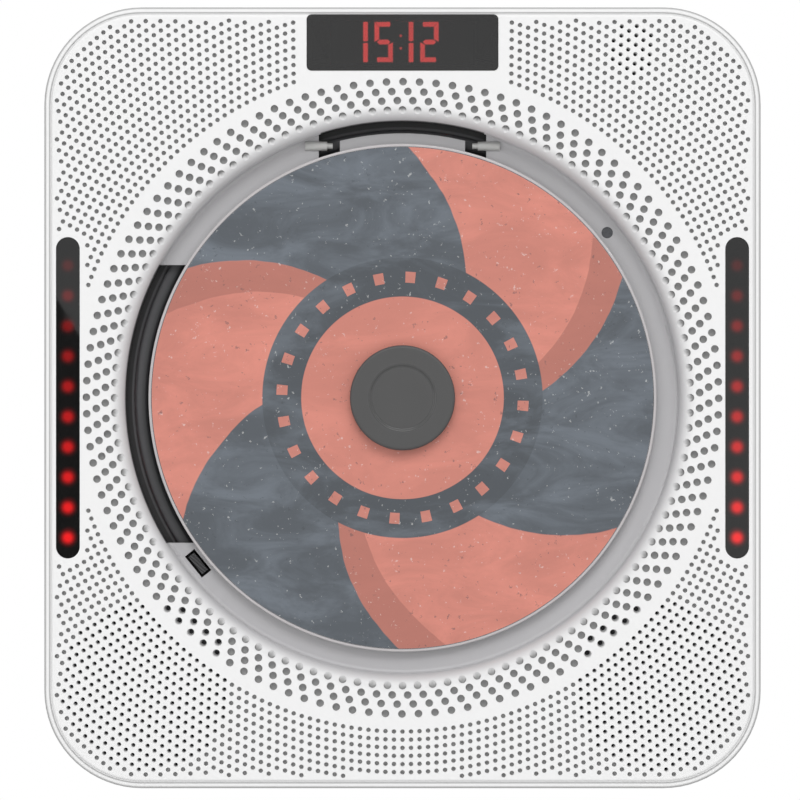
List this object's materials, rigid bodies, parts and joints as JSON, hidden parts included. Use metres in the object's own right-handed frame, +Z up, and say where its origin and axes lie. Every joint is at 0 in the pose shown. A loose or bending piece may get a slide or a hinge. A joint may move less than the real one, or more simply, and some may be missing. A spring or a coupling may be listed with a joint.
{
  "type": "wall mounted cd player",
  "caption": "Flat white wall mounted disc player: open round well with a clamped disc, perforated face, clock display, level lights and a hang-on wall plate.",
  "frame": {"origin": "middle of the wall plate's four screw holes, on the wall, in line with the disc's axis", "axes": "+Z up, -Y out of the wall towards the room, +X to the right as seen from the room"},
  "size_m": [0.1688, 0.042, 0.184],
  "materials": {
    "white_plastic": "satin white moulding",
    "white_rim": "satin white moulding",
    "black_plastic": "fine matt black moulding",
    "dark_window": "polished dark clear plastic",
    "red_light": "lit red lamp",
    "pin_plastic": "pale moulding",
    "circuit_board": "green solder mask",
    "chip": "black moulded packages",
    "plated_steel": "zinc plated pressed steel",
    "screw_steel": "plated screws",
    "ground_steel": "ground and polished",
    "magnet": "sintered magnet",
    "rubber": "soft black rubber",
    "soft_pad": "grey silicone",
    "paper_cone": "pressed paper with a foam edge",
    "disc_print": "clear disc with a printed label",
    "clamp_plastic": "soft dark grey moulding",
    "gear_plastic": "natural acetal",
    "brass": "turned brass",
    "sled_metal": "die cast",
    "lens_plastic": "black holder with a clear lens"
  },
  "bodies": {
    "wall_bracket": {"wall_plate": "plated_steel", "hanger_studs": "screw_steel"},
    "case": {"rear_cover": "white_rim", "wall_pads": "soft_pad", "front_cover": "white_plastic", "case_screws": "screw_steel", "display_window": "dark_window", "display_module": "black_plastic", "display_segments": "red_light", "display_board": "circuit_board", "ir_receiver": "black_plastic", "deck_plate": "black_plastic", "hinge_pins": "pin_plastic", "cover_magnet": "magnet", "cover_switch": "black_plastic", "traverse_plate": "plated_steel", "traverse_dampers": "rubber", "mechanism_screws": "screw_steel", "guide_rods": "ground_steel", "spindle_motor": "plated_steel", "sled_motor": "plated_steel", "main_board": "circuit_board", "board_parts": "chip", "board_screws": "screw_steel", "power_socket": "black_plastic", "audio_socket": "black_plastic", "usb_socket": "plated_steel", "switch_body": "black_plastic", "button_board": "circuit_board", "button_switches": "black_plastic", "level_window_left": "dark_window", "level_lights_left": "red_light", "level_board_left": "circuit_board", "speaker_frame_left": "plated_steel", "speaker_cone_left": "paper_cone", "speaker_magnet_left": "magnet", "level_window_right": "dark_window", "level_lights_right": "red_light", "level_board_right": "circuit_board", "speaker_frame_right": "plated_steel", "speaker_cone_right": "paper_cone", "speaker_magnet_right": "magnet"},
    "spindle": {"spindle_shaft": "ground_steel", "turntable": "black_plastic", "turntable_pad": "rubber"},
    "disc": {"disc": "disc_print"},
    "clamp": {"disc_clamp": "clamp_plastic", "clamp_magnet": "magnet"},
    "sled": {"pickup_body": "sled_metal", "sled_rack": "gear_plastic"},
    "lens": {"lens_holder": "lens_plastic"},
    "drive_gear": {"drive_gear": "gear_plastic"},
    "motor_pinion": {"motor_pinion": "brass"},
    "cover_plunger": {"cover_plunger": "black_plastic"},
    "power_knob": {"switch_knob": "black_plastic"},
    "previous_key": {"previous_button": "white_plastic"},
    "play_key": {"play_button": "white_plastic"},
    "next_key": {"next_button": "white_plastic"},
    "volume_down_key": {"volume_down_button": "white_plastic"},
    "volume_up_key": {"volume_up_button": "white_plastic"}
  },
  "joints": [
    {"name": "case_lift", "type": "slide", "parent": "wall_bracket", "child": "case", "axis": [0, 0, 1], "range_m": [0, 0.008]},
    {"name": "disc_spin", "type": "hinge", "parent": "case", "child": "spindle", "pos_m": [0, -0.03, 0], "axis": [0, -1, 0], "continuous": true},
    {"name": "disc_lift", "type": "slide", "parent": "spindle", "child": "disc", "axis": [0, -1, 0], "range_m": [0, 0.02]},
    {"name": "clamp_lift", "type": "slide", "parent": "disc", "child": "clamp", "axis": [0, -1, 0], "range_m": [0, 0.02]},
    {"name": "sled_travel", "type": "slide", "parent": "case", "child": "sled", "axis": [1, 0, 0], "range_m": [0, 0.0335]},
    {"name": "gear_spin", "type": "hinge", "parent": "case", "child": "drive_gear", "pos_m": [0.038, -0.025, -0.0318], "axis": [0, 1, 0], "range_deg": [-5, 405]},
    {"name": "motor_spin", "type": "hinge", "parent": "case", "child": "motor_pinion", "pos_m": [0.04975, -0.025, -0.03608], "axis": [0, 1, 0], "range_deg": [-1620, 20]},
    {"name": "lens_focus", "type": "slide", "parent": "sled", "child": "lens", "axis": [0, -1, 0], "range_m": [-0.0004, 0.0004], "stiffness_N_per_m": 25},
    {"name": "cover_press", "type": "slide", "parent": "case", "child": "cover_plunger", "axis": [0, 1, 0], "range_m": [0, 0.0012], "stiffness_N_per_m": 200},
    {"name": "power_slide", "type": "slide", "parent": "case", "child": "power_knob", "axis": [1, 0, 0], "range_m": [0, 0.0025]},
    {"name": "previous_press", "type": "slide", "parent": "case", "child": "previous_key", "axis": [0, 0, -1], "range_m": [0, 0.0005], "stiffness_N_per_m": 1500},
    {"name": "play_press", "type": "slide", "parent": "case", "child": "play_key", "axis": [0, 0, -1], "range_m": [0, 0.0005], "stiffness_N_per_m": 1500},
    {"name": "next_press", "type": "slide", "parent": "case", "child": "next_key", "axis": [0, 0, -1], "range_m": [0, 0.0005], "stiffness_N_per_m": 1500},
    {"name": "volume_down_press", "type": "slide", "parent": "case", "child": "volume_down_key", "axis": [0, 0, -1], "range_m": [0, 0.0005], "stiffness_N_per_m": 1500},
    {"name": "volume_up_press", "type": "slide", "parent": "case", "child": "volume_up_key", "axis": [0, 0, -1], "range_m": [0, 0.0005], "stiffness_N_per_m": 1500}
  ],
  "couplings": [
    {"joint": "gear_spin", "follows": "sled_travel", "rad_per_m": 208.33},
    {"joint": "motor_spin", "follows": "sled_travel", "rad_per_m": -833.33}
  ]
}
